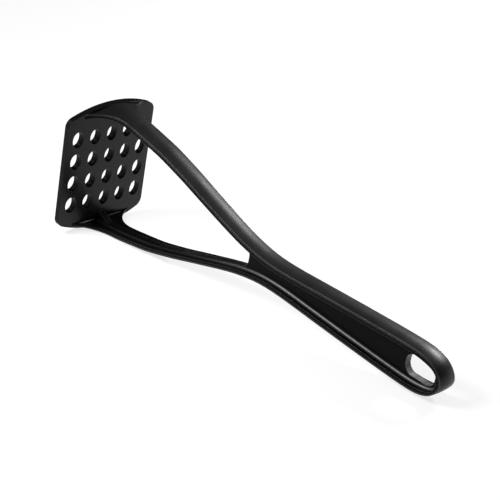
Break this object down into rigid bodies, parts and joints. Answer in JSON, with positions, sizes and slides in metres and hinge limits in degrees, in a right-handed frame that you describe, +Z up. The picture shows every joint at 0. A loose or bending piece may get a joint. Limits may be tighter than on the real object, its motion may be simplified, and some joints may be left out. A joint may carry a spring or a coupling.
{
  "type": "potato masher",
  "caption": "Hand masher with a perforated oblong plate carried by a forked frame that narrows into a ribbed handle with a hanging hole and a matte outer skin",
  "frame": {"origin": "middle of the bounding box in X and Y, on the surface it lies on in Z; the masher lies on the plate's lower edge and the handle's end", "axes": "+X runs along the tool from the plate to the hanging end, +Y across the plate, +Z up; the tool is mirror-symmetric about the XZ plane"},
  "size_m": [0.2906, 0.0686, 0.0849],
  "materials": {
    "plate_plastic": "semi-gloss black heat-resistant nylon",
    "frame_plastic": "semi-gloss black glass-filled nylon",
    "skin_plastic": "fine-grained matte black, slightly soft"
  },
  "bodies": {
    "root": {"masher_plate": "plate_plastic", "fork_frame": "frame_plastic", "grip_skin": "skin_plastic"}
  },
  "joints": []
}
